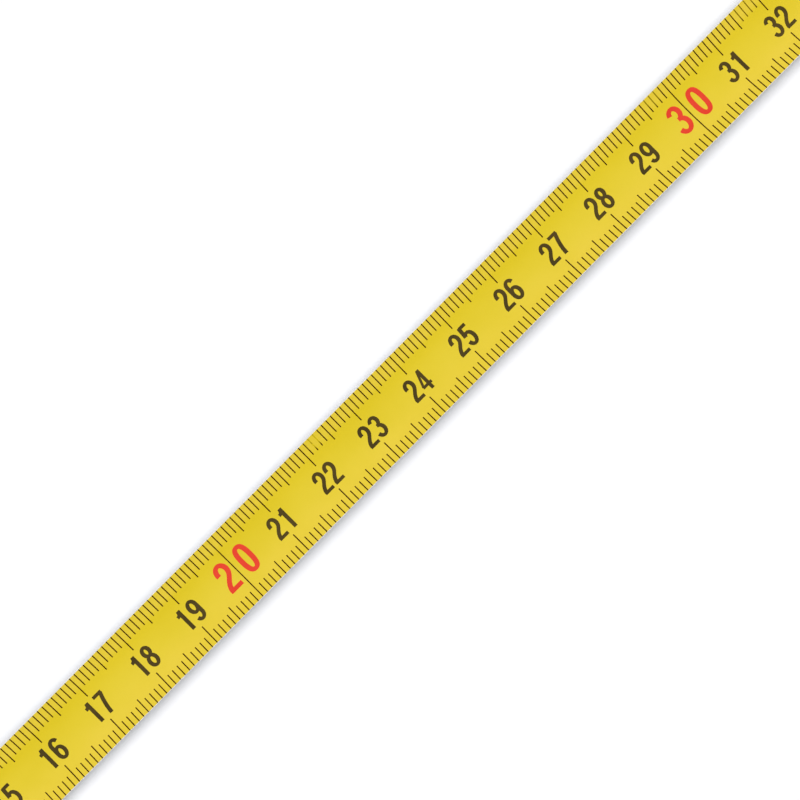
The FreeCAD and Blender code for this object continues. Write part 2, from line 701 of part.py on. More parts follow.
bumper = padded("bumper", "XY_Plane",
                [(f"{FRONT_X} - bumper_proud", "-bumper_wide / 2"),
                 (f"{FRONT_X} + bumper_sunk", "-bumper_wide / 2"),
                 (f"{FRONT_X} + bumper_sunk", "bumper_wide / 2"),
                 (f"{FRONT_X} - bumper_proud", "bumper_wide / 2")], "bumper_low", "bumper_tall")
bumper_edge = value(f"{FRONT_X} - bumper_proud")
rounded(bumper, "bumper_nose", "bumper_proud * 0.9",
        [Vector(bumper_edge, 0, value("bumper_low")),
         Vector(bumper_edge, 0, value("bumper_low + bumper_tall"))])
keep(bumper, "mouth_bumper")

# ---------------------------------------------------------------- lock

inside = "(wall + lock_fit)"
slider_back = f"({inside} + slider_thick)"
leg_back = f"({slider_back} + leg_thick)"
pad_top = f"({PAD_LOW_Z} + pad_tall)"


def across(wide):
    return (f"-({wide}) / 2", f"({wide}) / 2")


slider = join("MultiFuse", "slider_stock", [
    front_block("slider_plate", (inside, slider_back), across("slider_wide"),
                ("slider_low", "slider_low + slider_long")),
    front_block("slider_stem", ("-lock_fit", inside), across("stem_wide"),
                ("stem_low", "stem_low + stem_long")),
    front_block("slider_leg", (slider_back, leg_back), across("pad_wide"),
                ("-nose_up", "leg_high")),
])
under = block("below_pad_top", (f"{FRONT_X} - 10", f"{FRONT_X} + 20"), across("2 * pad_wide"),
              (f"-{CASE_TALL}", pad_top))
keep(carve("slider_cut", slider, [under]), "lock_slider")

# the leg's two faces meet the pad's top here
leg_front_x = (f"({FRONT_X} + {slider_back} * cos(lean)"
               f" + ({pad_top} - nose_up + {slider_back} * sin(lean)) * tan(lean))")
leg_rear_x = f"({leg_front_x} + leg_thick / cos(lean))"
keep(block("pad_block", (leg_front_x, leg_rear_x), across("pad_wide"),
           (PAD_LOW_Z, pad_top)), "brake_pad")

button = padded("button", "XZ_Plane",
                [("-(button_thick + lock_fit)", "button_low"), ("-lock_fit", "button_low"),
                 ("-lock_fit", "button_low + button_long"),
                 ("-(button_thick + lock_fit)", "button_low + button_long")],
                "-button_wide / 2", "button_wide")
button_face = value("-(button_thick + lock_fit)")
rounded(button, "button_edges", "button_r",
        [Vector(button_face, 0, value("button_low")),
         Vector(button_face, 0, value("button_low + button_long"))]
        + [Vector(button_face, sign * value("button_wide / 2"),
                  value("button_low + button_long / 2")) for sign in (-1, 1)])
button.Placement = Placement(Vector(), Rotation(Vector(0, 1, 0), value("lean")))
bind(button, Placement__Rotation__Angle="lean", Placement__Base__x=FRONT_X,
     Placement__Base__z="nose_up")
keep(button, "lock_button")

detent_in = f"({slider_back} + detent_gap)"
keep(front_block("detent_leaf", (detent_in, f"{detent_in} + detent_thick"),
                 across(f"2 * ({CHAMBER_Y})"),
                 ("detent_low", "detent_low + detent_long")), "lock_detent")

# ---------------------------------------------------------------- belt clip

clip_sides = (f"{AXLE_X} - clip_wide / 2", "clip_wide")
root = padded("clip_root", "YZ_Plane",
              [(SIDE_Y, CLIP_FOOT_Z), (f"{SIDE_Y} + clip_thick", CLIP_FOOT_Z),
               (f"{SIDE_Y} + clip_thick", "clip_up + clip_root_up"),
               (SIDE_Y, "clip_up + clip_root_up")], *clip_sides)
root_hole = rod("clip_hole", "clip_screw_r + screw_fit", AXLE_X, "clip_up",
                f"{SIDE_Y} - 1", f"{SIDE_Y} + clip_thick + 1")
keep(carve("clip_root_cut", root, [root_hole]), "belt_clip_root")

arm_line = [
    (SIDE_Y, f"{CLIP_FOOT_Z} - clip_split"),
    (f"{SIDE_Y} + clip_gap", f"{CLIP_FOOT_Z} - clip_jog"),
    (f"{SIDE_Y} + clip_gap - clip_lean", f"{CLIP_FOOT_Z} - clip_jog - clip_long + clip_flare"),
    (f"{SIDE_Y} + clip_nip", f"{CLIP_FOOT_Z} - clip_jog - clip_long"),
    (f"{SIDE_Y} + clip_gap", f"{CLIP_FOOT_Z} - clip_jog - clip_long - clip_flare"),
]
arm_back = [(f"{y} + clip_thick", z) for y, z in reversed(arm_line)]
keep(padded("clip_arm", "YZ_Plane", arm_line + arm_back, *clip_sides), "belt_clip_arm")

keep(turned("insert", [("clip_screw_r", f"{SIDE_Y} - insert_long"),
                       ("insert_r", f"{SIDE_Y} - insert_long"), ("insert_r", SIDE_Y),
                       ("clip_screw_r", SIDE_Y)], AXLE_X, "clip_up"), "clip_insert")

head_y = f"({SIDE_Y} + clip_thick)"
screw = turned("clip_bolt", [("0", f"{SIDE_Y} - insert_long + 0.2"),
                             ("clip_screw_r", f"{SIDE_Y} - insert_long + 0.2"),
                             ("clip_screw_r", head_y), ("clip_head_r", head_y),
                             ("clip_head_r", f"{head_y} + clip_head_up * 0.4"),
                             ("clip_head_r * 0.6", f"{head_y} + clip_head_up"),
                             ("0", f"{head_y} + clip_head_up")], AXLE_X, "clip_up")
cross = ("clip_head_r * 0.55", "clip_head_r * 0.14")
recess = (f"{head_y} + clip_head_up * 0.4", f"{head_y} + clip_head_up + 1")
bars = [block(f"clip_bar_{index}", (f"{AXLE_X} - {a}", f"{AXLE_X} + {a}"), recess,
              (f"clip_up - {b}", f"clip_up + {b}"))
        for index, (a, b) in enumerate((cross, cross[::-1]))]
keep(carve("clip_bolt_cut", screw, bars), "clip_screw")

# ---------------------------------------------------------------- check and write

doc.recompute()
for item in doc.Objects:
    bad = {"Invalid", "Error"} & set(item.State)
    if bad:
        raise RuntimeError(f"{item.Name} ({item.Label}) is {sorted(bad)}")
for node in nodes:
    if node.Shape.isNull() or not node.Shape.isValid() or not node.Shape.Solids:
        raise RuntimeError(f"{node.Label} has no valid solid")

os.makedirs("parts", exist_ok=True)
for node in nodes:
    node.Shape.exportStep(f"parts/{node.Label}.step")
    print(f"{node.Label:18s} {len(node.Shape.Solids)} solid(s) {node.Shape.Volume:10.1f} mm3")
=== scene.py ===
import math

import bmesh
import bpy
from mathutils import Euler, Matrix, Vector
from mathutils.geometry import delaunay_2d_cdt


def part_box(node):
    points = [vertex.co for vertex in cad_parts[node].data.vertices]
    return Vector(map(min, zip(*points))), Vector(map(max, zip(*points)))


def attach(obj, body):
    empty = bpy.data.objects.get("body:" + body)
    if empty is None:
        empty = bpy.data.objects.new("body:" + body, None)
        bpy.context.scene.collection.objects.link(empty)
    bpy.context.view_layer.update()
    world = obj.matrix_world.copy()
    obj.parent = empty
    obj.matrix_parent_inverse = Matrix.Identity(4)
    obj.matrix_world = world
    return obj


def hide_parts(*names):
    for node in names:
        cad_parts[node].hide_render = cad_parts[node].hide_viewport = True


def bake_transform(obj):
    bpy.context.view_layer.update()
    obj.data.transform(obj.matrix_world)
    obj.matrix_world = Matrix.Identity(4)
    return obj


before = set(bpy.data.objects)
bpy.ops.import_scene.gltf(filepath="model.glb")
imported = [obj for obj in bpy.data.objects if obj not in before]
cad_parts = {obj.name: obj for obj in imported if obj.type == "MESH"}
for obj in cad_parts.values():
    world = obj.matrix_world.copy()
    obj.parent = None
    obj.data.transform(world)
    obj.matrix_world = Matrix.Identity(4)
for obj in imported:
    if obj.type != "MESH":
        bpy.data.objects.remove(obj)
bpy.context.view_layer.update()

# ----------------------------------------------------------------------------
# Studio.  The drawn blade is seen from straight above through a long lens, the hook's end a
# touch nearer than the case's, with the scale running up to the right.
# ----------------------------------------------------------------------------

MM = 0.001
scene = bpy.context.scene
scene.view_settings.view_transform = "Standard"

blade_low, blade_high = (Vector(corner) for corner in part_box("blade"))
hook_low = Vector(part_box("end_hook")[0])
hook_plate = 0.8 * MM
zero_x = hook_low.x + hook_plate                 # inner face of the pulled-out hook
blade_top = blade_high.z

seen_mark, seen_side = 236.36 * MM, 0.19 * MM    # the spot under the lens
sight_line = 600.6 * MM
lean_back = math.radians(2.29)
blade_slope = math.radians(45.25)

aim = Vector((zero_x + seen_mark, seen_side, blade_top))
back = Vector((-math.sin(lean_back), 0, math.cos(lean_back)))
along = Vector((math.cos(lean_back), 0, math.sin(lean_back)))
aside = Vector((0, 1, 0))
right = math.cos(blade_slope) * along - math.sin(blade_slope) * aside
up = math.sin(blade_slope) * along + math.cos(blade_slope) * aside

lens = bpy.data.cameras.new("long_lens")
lens.lens, lens.sensor_width = 174.9, 36         # millimetres, as a lens is marked
lens.clip_start, lens.clip_end = 0.01, 50
camera = bpy.data.objects.new("camera", lens)
camera.matrix_world = Matrix.Translation(aim + back * sight_line) @ Matrix(
    (right, up, back)).transposed().to_4x4()
scene.collection.objects.link(camera)
scene.camera = camera


def simple_material(name, colour, roughness):
    material = bpy.data.materials.new(name)
    material.use_nodes = True
    shader = material.node_tree.nodes["Principled BSDF"]
    shader.inputs["Base Color"].default_value = (*colour, 1)
    shader.inputs["Roughness"].default_value = roughness
    return material


table_half = 6.0                                 # metres, so that no edge of it is ever seen
floor_mesh = bpy.data.meshes.new("floor")
floor_mesh.from_pydata([(x * table_half, y * table_half, 0) for x, y in (
    (-1, -1), (1, -1), (1, 1), (-1, 1))], [], [(0, 1, 2, 3)])
floor = bpy.data.objects.new("floor", floor_mesh)
scene.collection.objects.link(floor)
floor_mesh.materials.append(simple_material("white_table", (0.955, 0.96, 0.98), 0.9))

# A wide overhead lamp far above, as even over the whole table as a bank of them.
lamp_power, lamp_spread, lamp_tilt = 2.98, math.radians(25.5), math.radians(-2.88)
lamp = bpy.data.lights.new("overhead", "SUN")
lamp.energy, lamp.angle = lamp_power, lamp_spread
overhead = bpy.data.objects.new("overhead", lamp)
overhead.rotation_euler = (lamp_tilt, 0, 0)
scene.collection.objects.link(overhead)

# The room's walls are brighter than its ceiling, and the lens itself sees only pale paper.
wall_light, ceiling_light, wall_top, paper = 1.0, 0.06, 0.5, 0.97
world = bpy.data.worlds.new("bright_room")
world.use_nodes = True
scene.world = world
room = world.node_tree
sky = room.nodes["Background"]
sky.inputs["Color"].default_value = (0.965, 0.98, 1.0, 1)
height = room.nodes.new("ShaderNodeSeparateXYZ")
room.links.new(room.nodes.new("ShaderNodeTexCoord").outputs["Generated"], height.inputs[0])
walls = room.nodes.new("ShaderNodeMapRange")
walls.interpolation_type = "SMOOTHSTEP"
for word, term in (("From Min", 0.0), ("From Max", wall_top), ("To Min", wall_light),
                   ("To Max", ceiling_light)):
    walls.inputs[word].default_value = term
room.links.new(height.outputs["Z"], walls.inputs["Value"])
seen = room.nodes.new("ShaderNodeMix")
seen.inputs["B"].default_value = paper
room.links.new(room.nodes.new("ShaderNodeLightPath").outputs["Is Camera Ray"], seen.inputs[0])
room.links.new(walls.outputs[0], seen.inputs["A"])
room.links.new(seen.outputs[0], sky.inputs["Strength"])


# ----------------------------------------------------------------------------
# Blade.  Spring steel, 13 mm size, rolled hollow across its width and phosphated grey, with
# yellow lacquer on its printed face and a bright cut along both edges.
# ----------------------------------------------------------------------------

strip_wide, strip_thick, strip_curve = 13.0 * MM, 0.13 * MM, 11.7 * MM
half_angle = strip_wide / 2 / strip_curve
face_radius = strip_curve - strip_thick / 2      # of the hollow, printed face
curve_centre = blade_low.z + strip_curve + strip_thick / 2


def on_blade(along_scale, across, height):
    """A point of the printed face, by scale reading, distance from the middle and height."""
    angle = across / strip_curve
    reach = face_radius - height
    return Vector((zero_x + along_scale, reach * math.sin(angle),
                   curve_centre - reach * math.cos(angle)))


def new_piece(name, verts, faces, material, body, smooth_angle=None):
    """Makes a mesh piece and lets it ride on a body."""
    mesh = bpy.data.meshes.new(name)
    mesh.from_pydata([tuple(v) for v in verts], [], faces)
    mesh.materials.append(material)
    if smooth_angle is not None:
        mesh.shade_smooth()
        mesh.set_sharp_from_angle(angle=math.radians(smooth_angle))
    piece = bpy.data.objects.new(name, mesh)
    scene.collection.objects.link(piece)
    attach(piece, body)
    return piece


def prism(rings):
    """Faces of a closed skin through rings of equal length, capped at both ends."""
    count = len(rings[0])
    verts = [v for ring in rings for v in ring]
    faces = []
    for row in range(len(rings) - 1):
        for col in range(count):
            near, far = row * count + col, row * count + (col + 1) % count
            faces.append((near, far, far + count, near + count))
    faces.append(tuple(reversed(range(count))))
    faces.append(tuple(range(len(verts) - count, len(verts))))
    return verts, faces


def node_group(name, inputs, outputs):
    """An empty shader group with named sockets: its tree, and its two ends."""
    kind = {"Place": "Vector", "Light": "Color", "Dark": "Color", "Colour": "Color"}
    tree = bpy.data.node_groups.new(name, "ShaderNodeTree")
    for side, words in (("INPUT", inputs), ("OUTPUT", outputs)):
        for word in words:
            tree.interface.new_socket(word, in_out=side,
                                      socket_type="NodeSocket" + kind.get(word, "Float"))
    return tree, tree.nodes.new("NodeGroupInput").outputs, tree.nodes.new(
        "NodeGroupOutput").inputs


def feed(tree, socket, term):
    """Links a socket to another one, or sets it to a plain value."""
    if isinstance(term, bpy.types.NodeSocket):
        tree.links.new(term, socket)
    else:
        socket.default_value = term


def reckon(tree, operation, *terms):
    """A maths node on sockets or numbers."""
    node = tree.nodes.new("ShaderNodeMath")
    node.operation = operation
    for socket, term in zip(node.inputs, terms):
        feed(tree, socket, term)
    return node.outputs[0]


def rise(tree, value, low, high):
    """Nought at low and one at high, smooth between them."""
    node = tree.nodes.new("ShaderNodeMapRange")
    node.interpolation_type = "SMOOTHSTEP"
    for word, term in (("Value", value), ("From Min", low), ("From Max", high)):
        feed(tree, node.inputs[word], term)
    return node.outputs[0]


def cloud(tree, place, scale, detail=2.0):
    """Soft noise, from nought to one."""
    node = tree.nodes.new("ShaderNodeTexNoise")
    node.inputs["Detail"].default_value = detail
    feed(tree, node.inputs["Vector"], place)
    feed(tree, node.inputs["Scale"], scale)
    return node.outputs["Fac"]


def axis_of(tree, place, axis):
    """One of the three distances in a place."""
    node = tree.nodes.new("ShaderNodeSeparateXYZ")
    tree.links.new(place, node.inputs[0])
    return node.outputs[axis]


def stretched(tree, place, scale, turn=(0, 0, 0), shift=(0, 0, 0)):
    """The same place, turned and drawn out by a Mapping node."""
    node = tree.nodes.new("ShaderNodeMapping")
    feed(tree, node.inputs["Vector"], place)
    node.inputs["Location"].default_value = shift
    node.inputs["Rotation"].default_value = [math.radians(angle) for angle in turn]
    node.inputs["Scale"].default_value = scale
    return node.outputs[0]


def mixed(tree, factor, first, second):
    """The first colour at nought, the second at one."""
    node = tree.nodes.new("ShaderNodeMix")
    node.data_type = "RGBA"
    for socket, term in ((node.inputs[0], factor), (node.inputs[6], first),
                         (node.inputs[7], second)):
        feed(tree, socket, term)
    return node.outputs[2]


uneven_tone, given, out = node_group(
    "uneven_tone", ["Place", "Light", "Dark", "Patches"], ["Colour", "Value"])
patch = rise(uneven_tone, cloud(uneven_tone, given["Place"], given["Patches"], 4.0), 0.3, 0.7)
feed(uneven_tone, out["Colour"], mixed(uneven_tone, patch, given["Dark"], given["Light"]))
feed(uneven_tone, out["Value"], patch)

fine_grain, given, out = node_group("fine_grain", ["Place", "Grains"], ["Height"])
coarse = cloud(fine_grain, given["Place"], given["Grains"])
finer = cloud(fine_grain, given["Place"], reckon(fine_grain, "MULTIPLY", given["Grains"], 2.6))
feed(fine_grain, out["Height"], reckon(fine_grain, "MULTIPLY_ADD", finer, 0.5, coarse))

scuffs, given, out = node_group("scuffs", ["Place", "Marks", "Share"], ["Mask"])
marks = 0.0
for turn in ((20, 35, 25), (-50, 10, -40), (70, -20, 80)):
    drawn = stretched(scuffs, given["Place"], (0.07, 1, 1), turn, (turn[0], 0, 0))
    mark = rise(scuffs, cloud(scuffs, drawn, given["Marks"], 1.0), 0.70, 0.74)
    marks = reckon(scuffs, "MAXIMUM", mark, marks)
where = rise(scuffs, cloud(scuffs, given["Place"], reckon(scuffs, "MULTIPLY", given["Marks"],
                                                          0.1)), 0.42, 0.62)
marks = reckon(scuffs, "MULTIPLY", marks, where)
feed(scuffs, out["Mask"], reckon(scuffs, "MULTIPLY", marks, given["Share"]))

worn_edges, given, out = node_group("worn_edges", ["Place", "Radius", "Share"], ["Mask"])
rounded_off = worn_edges.nodes.new("ShaderNodeBevel")
rounded_off.samples = 6
feed(worn_edges, rounded_off.inputs["Radius"], given["Radius"])
agreement = worn_edges.nodes.new("ShaderNodeVectorMath")
agreement.operation = "DOT_PRODUCT"
worn_edges.links.new(rounded_off.outputs[0], agreement.inputs[0])
worn_edges.links.new(worn_edges.nodes.new("ShaderNodeNewGeometry").outputs["Normal"],
                     agreement.inputs[1])
turned = reckon(worn_edges, "SUBTRACT", 1.0, agreement.outputs["Value"])
rubbed = cloud(worn_edges, given["Place"], 420.0, 4.0)
turned = reckon(worn_edges, "MULTIPLY", turned, reckon(worn_edges, "ADD", rubbed, 0.5))
feed(worn_edges, out["Mask"], reckon(worn_edges, "MULTIPLY", rise(worn_edges, turned, 0.03,
                                                                  0.22), given["Share"]))


def put_group(tree, group, **terms):
    """Places a shader group with its own values, and gives its outputs."""
    node = tree.nodes.new("ShaderNodeGroup")
    node.node_tree = group
    for word, term in terms.items():
        feed(tree, node.inputs[word], term)
    return node.outputs


def finish(name, light, dark, roughness, spread=0.08, patches=90, grains=2400, bump=0.004,
           metallic=0.0, specular=0.5, marks=0.0, worn=None, brushed=None):
    """A surface of uneven tone and fine grain, sizes in mm.

    marks is the share of scuffs, worn is (colour, edge radius, share) and brushed is the
    stretch of its brushing lines, (x, y, z).
    """
    material = bpy.data.materials.new(name)
    material.use_nodes = True
    tree = material.node_tree
    shader = tree.nodes["Principled BSDF"]
    shader.inputs["Metallic"].default_value = metallic
    shader.inputs["Specular IOR Level"].default_value = specular
    place = tree.nodes.new("ShaderNodeTexCoord").outputs["Object"]
    tone = put_group(tree, uneven_tone, Place=place, Light=(*light, 1), Dark=(*dark, 1),
                     Patches=patches)
    colour = tone["Colour"]
    rough = reckon(tree, "MULTIPLY_ADD", tone["Value"], -spread, roughness + spread / 2)
    relief = put_group(tree, fine_grain, Place=place, Grains=grains)["Height"]
    if brushed:
        lines = cloud(tree, stretched(tree, place, brushed), 1000.0, 3.0)
        relief = reckon(tree, "MULTIPLY_ADD", lines, 1.5, relief)
        rough = reckon(tree, "MULTIPLY_ADD", lines, spread, rough)
    if marks:
        mask = put_group(tree, scuffs, Place=place, Marks=900.0, Share=marks)["Mask"]
        rough = reckon(tree, "MULTIPLY_ADD", mask, 0.25, rough)
        relief = reckon(tree, "SUBTRACT", relief, mask)
    if worn:
        under, edge_radius, share = worn
        mask = put_group(tree, worn_edges, Place=place, Radius=edge_radius * MM,
                         Share=share)["Mask"]
        colour = mixed(tree, mask, colour, (*under, 1))
    tree.links.new(colour, shader.inputs["Base Color"])
    tree.links.new(rough, shader.inputs["Roughness"])
    surface = tree.nodes.new("ShaderNodeBump")
    surface.inputs["Distance"].default_value = bump * MM
    tree.links.new(relief, surface.inputs["Height"])
    tree.links.new(surface.outputs[0], shader.inputs["Normal"])
    return material


def overlay(material, build):
    """Lays a colour over a finished material; build(tree, place) gives its mask and colour."""
    tree = material.node_tree
    place = next(n for n in tree.nodes if n.type == "TEX_COORD").outputs["Object"]
    socket = tree.nodes["Principled BSDF"].inputs["Base Color"]
    mask, colour = build(tree, place)
    tree.links.new(mixed(tree, mask, socket.links[0].from_socket, (*colour, 1)), socket)


YELLOW = (0.735, 0.565, 0.012)
yellow_lacquer = finish("yellow_lacquer", YELLOW, (0.715, 0.55, 0.0095), 0.62, 0.05,
                        patches=110, grains=1500, bump=0.0015, specular=0.22)


def paler_sides(tree, place):
    """Painted sheen along one half and painted light near both edges: a paler, mottled yellow
    standing in for the lamp's reflection and for the light the hollow's slopes lack.
    """
    across = axis_of(tree, place, "Y")
    half = rise(tree, across, 0.5 * MM, -4.5 * MM)
    side = rise(tree, across, 3.4 * MM, 4.8 * MM)
    mottle = reckon(tree, "ADD", cloud(tree, place, 160.0, 3.0), 0.4)
    return reckon(tree, "MULTIPLY", reckon(tree, "MAXIMUM", half, side), mottle), (
        0.787, 0.598, 0.043)


# Lays the painted sheen and painted edge light over the yellow lacquer.
overlay(yellow_lacquer, paler_sides)
cut_steel = finish("cut_steel", (0.95, 0.93, 0.86), (0.86, 0.83, 0.72), 0.40, 0.1,
                   patches=700, metallic=0.1)
phosphate_grey = finish("phosphate_grey", (0.150, 0.150, 0.155), (0.105, 0.105, 0.110), 0.50,
                        0.12, patches=240, grains=1900, bump=0.003, metallic=0.3, marks=0.6)

lengths, steps = 12, 28                          # facets along the strip and across it
rings = []
for length in range(lengths + 1):
    reading = blade_low.x - zero_x + length / lengths * (blade_high.x - blade_low.x)
    spots = [-strip_wide / 2 + k * strip_wide / steps for k in range(steps + 1)]
    rings.append([on_blade(reading, t, -strip_thick) for t in spots]
                 + [on_blade(reading, t, 0) for t in reversed(spots)])
strip = new_piece("printed_blade", *prism(rings), yellow_lacquer, "blade", 40)
strip.data.materials.append(cut_steel)
strip.data.materials.append(phosphate_grey)
for face in strip.data.polygons:
    if abs(face.normal.dot(aside)) > 0.7:        # the two cut edges; the rest below is grey
        face.material_index = 1
    elif face.normal.z < 0:
        face.material_index = 2
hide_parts("blade")


# ----------------------------------------------------------------------------
# Scale lines.  Black ink a hundredth of a millimetre high, printed from both edges inwards:
# short for each millimetre, longer for 5 and 10, and from edge to edge for 100.
# ----------------------------------------------------------------------------

print_shift = -0.26 * MM                         # the print sits a little off the middle
ink_high = 0.012 * MM
last_mark = 377                                  # millimetres, near the straight part's end

black_ink = finish("black_ink", (0.082, 0.054, 0.010), (0.058, 0.039, 0.008), 0.62, 0.05,
                   patches=260, grains=3000, bump=0.001, specular=0.07)
line_ink = finish("line_ink", (0.046, 0.008, 0.001), (0.034, 0.006, 0.001), 0.62, 0.05,
                  patches=260, grains=3000, bump=0.001, specular=0.03)

RUBBED_SPOTS = [  # reading, distance from the middle and radius in mm, and share rubbed off
    (222.3, 5.5, 1.5, 0.95),
    (297.2, 5.9, 2.0, 0.42),
    (317.4, 5.9, 2.8, 0.36),
]


def rubbed_thin(tree, place):
    """Print rubbed thin by thumb and board edges near three readings."""
    mask = 0.0
    for reading, across, wide, share in RUBBED_SPOTS:
        away = tree.nodes.new("ShaderNodeVectorMath")
        away.operation = "DISTANCE"
        tree.links.new(place, away.inputs[0])
        away.inputs[1].default_value = on_blade(reading * MM, across * MM, 0)
        spot = rise(tree, away.outputs["Value"], wide * MM, wide * 0.55 * MM)
        mask = reckon(tree, "MAXIMUM", reckon(tree, "MULTIPLY", spot, share), mask)
    speckle = rise(tree, cloud(tree, place, 1800.0, 3.0), 0.30, 0.62)
    speckle = reckon(tree, "MULTIPLY_ADD", speckle, 0.4, 0.6)
    return reckon(tree, "MULTIPLY", mask, speckle), YELLOW


overlay(line_ink, rubbed_thin)


def open_tree(name, **inputs):
    """A geometry tree with its named inputs by kind: tree, node and link makers, inputs."""
    tree = bpy.data.node_groups.new(name, "GeometryNodeTree")
    face = tree.interface
    face.new_socket("Geometry", in_out="OUTPUT", socket_type="NodeSocketGeometry")
    for kind, words in inputs.items():
        for word in words:
            face.new_socket(word, in_out="INPUT", socket_type="NodeSocket" + kind)
    return tree, tree.nodes.new, tree.links.new, tree.nodes.new("NodeGroupInput").outputs


def copies(tree, points, shape, rotation=None):
    """Sets a shape on each point, turned alike."""
    node = tree.nodes.new("GeometryNodeInstanceOnPoints")
    tree.links.new(points, node.inputs["Points"])
    tree.links.new(shape, node.inputs["Instance"])
    if rotation:
        turn = tree.nodes.new("FunctionNodeInputRotation")
        turn.rotation_euler = Euler(rotation)
        tree.links.new(turn.outputs[0], node.inputs["Rotation"])
    return node


def close_tree(tree, shape, material):
    """Ends a tree with Realize Instances and Set Material."""
    last = shape
    for kind in ("GeometryNodeRealizeInstances", "GeometryNodeSetMaterial"):
        node = tree.nodes.new(kind)
        tree.links.new(last, node.inputs["Geometry"])
        last = node.outputs[0]
    tree.links.new(material, node.inputs["Material"])
    tree.links.new(last, tree.nodes.new("NodeGroupOutput").inputs["Geometry"])
    return tree


def line_tree():
    """Lines across the blade: arcs swept with a flat section, set at an even pitch."""
    tree, add, link, sizes = open_tree(
        "scale_lines", Int=("Count", "Skip Every"), Material=("Ink",),
        Float=("First", "Pitch", "Line Width", "Ink Height", "Radius", "Centre",
               "Start Angle", "Sweep"))
    start, step = add("ShaderNodeCombineXYZ"), add("ShaderNodeCombineXYZ")
    link(sizes["First"], start.inputs["X"])
    link(sizes["Centre"], start.inputs["Z"])
    link(sizes["Pitch"], step.inputs["X"])
    row = add("GeometryNodeMeshLine")
    link(sizes["Count"], row.inputs["Count"])
    link(start.outputs[0], row.inputs["Start Location"])
    link(step.outputs[0], row.inputs["Offset"])

    number = reckon(tree, "ADD", add("GeometryNodeInputIndex").outputs[0], 1.0)
    skipped = add("FunctionNodeCompare")
    skipped.operation = "LESS_THAN"
    skipped.inputs["B"].default_value = 0.5
    link(reckon(tree, "MODULO", number, sizes["Skip Every"]), skipped.inputs["A"])
    thinned = add("GeometryNodeDeleteGeometry")
    thinned.domain = "POINT"
    link(row.outputs[0], thinned.inputs["Geometry"])
    link(skipped.outputs[0], thinned.inputs["Selection"])

    arc = add("GeometryNodeCurveArc")
    arc.mode = "RADIUS"
    arc.inputs["Resolution"].default_value = 6
    link(sizes["Radius"], arc.inputs["Radius"])
    link(sizes["Start Angle"], arc.inputs["Start Angle"])
    link(sizes["Sweep"], arc.inputs["Sweep Angle"])
    section = add("GeometryNodeCurvePrimitiveQuadrilateral")
    link(sizes["Line Width"], section.inputs["Height"])
    link(sizes["Ink Height"], section.inputs["Width"])
    swept = add("GeometryNodeCurveToMesh")
    swept.inputs["Fill Caps"].default_value = True
    link(arc.outputs["Curve"], swept.inputs["Curve"])
    link(section.outputs[0], swept.inputs["Profile Curve"])

    placed = copies(tree, thinned.outputs[0], swept.outputs[0], (0, math.pi / 2, 0))
    return close_tree(tree, placed.outputs[0], sizes["Ink"])


def made_by(tree, name, body, start_mesh=None, **sizes):
    """Runs a node tree with named inputs and keeps the result as a plain mesh piece."""
    carrier = bpy.data.objects.new(
        name + "_maker", start_mesh or bpy.data.meshes.new(name + "_maker"))
    scene.collection.objects.link(carrier)
    maker = carrier.modifiers.new("maker", "NODES")
    maker.node_group = tree
    sockets = {s.name.replace(" ", "_").lower(): s.identifier
               for s in tree.interface.items_tree if s.in_out == "INPUT"}
    for word, size in sizes.items():
        maker[sockets[word]] = size
    seen = carrier.evaluated_get(bpy.context.evaluated_depsgraph_get())
    mesh = bpy.data.meshes.new_from_object(seen)
    bpy.data.objects.remove(carrier)
    piece = bpy.data.objects.new(name, mesh)
    scene.collection.objects.link(piece)
    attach(piece, body)
    return piece


lines = line_tree()
FAMILIES = [  # name, pitch in mm, skip every, inner end from the print's middle, line width
    ("millimetre", 1, 5, 4.085, 0.185),
    ("five", 5, 2, 3.36, 0.185),
    ("ten", 10, 10, 2.50, 0.19),
]
for name, pitch, skip, inner, wide in FAMILIES:
    for edge in (1, -1):
        start = (print_shift + edge * inner * MM) / strip_curve
        sweep = edge * half_angle - start
        piece = made_by(lines, f"{name}_lines_{'left' if edge > 0 else 'right'}", "blade",
                        first=zero_x + pitch * MM, pitch=pitch * MM, count=last_mark // pitch,
                        skip_every=skip, line_width=wide * MM, ink_height=2 * ink_high,
                        radius=face_radius, centre=curve_centre, start_angle=start,
                        sweep=sweep, ink=line_ink)
hundreds = made_by(lines, "hundred_lines", "blade", first=zero_x + 100 * MM, pitch=100 * MM,
                   count=last_mark // 100, skip_every=1000, line_width=0.175 * MM,
                   ink_height=2 * ink_high, radius=face_radius, centre=curve_centre,
                   start_angle=-half_angle, sweep=2 * half_angle, ink=line_ink)


# ----------------------------------------------------------------------------
# Figures.  Upright condensed figures in the same ink: black for each centimetre, and larger
# red ones either side of the line at each ten.
# ----------------------------------------------------------------------------

red_ink = finish("red_ink", (0.79, 0.056, 0.024), (0.74, 0.048, 0.020), 0.62, 0.05,
                 patches=260, grains=3000, bump=0.001, specular=0.12)


def bow(centre, reach, start, end, count=14):
    """Points on part of an ellipse, angles in degrees."""
    spots = []
    for k in range(count + 1):
        angle = math.radians(start + (end - start) * k / count)
        spots.append((centre[0] + reach[0] * math.cos(angle),
                      centre[1] + reach[1] * math.sin(angle)))
    return spots


def sweep_line(*handles, count=10):
    """Points on a cubic curve between its first and last handle."""
    spots = []
    for k in range(count + 1):
        u = k / count
        weights = ((1 - u) ** 3, 3 * u * (1 - u) ** 2, 3 * u * u * (1 - u), u ** 3)
        spots.append(tuple(sum(w * h[i] for w, h in zip(weights, handles)) for i in (0, 1)))
    return spots


def barrel(power=2.6, count=36):
    """An oval with fuller shoulders than an ellipse."""
    spots = []
    for k in range(count):
        angle = 2 * math.pi * k / count
        spots.append(tuple(0.5 + 0.5 * math.copysign(abs(part) ** (2 / power), part)
                           for part in (math.cos(angle), math.sin(angle))))
    return spots


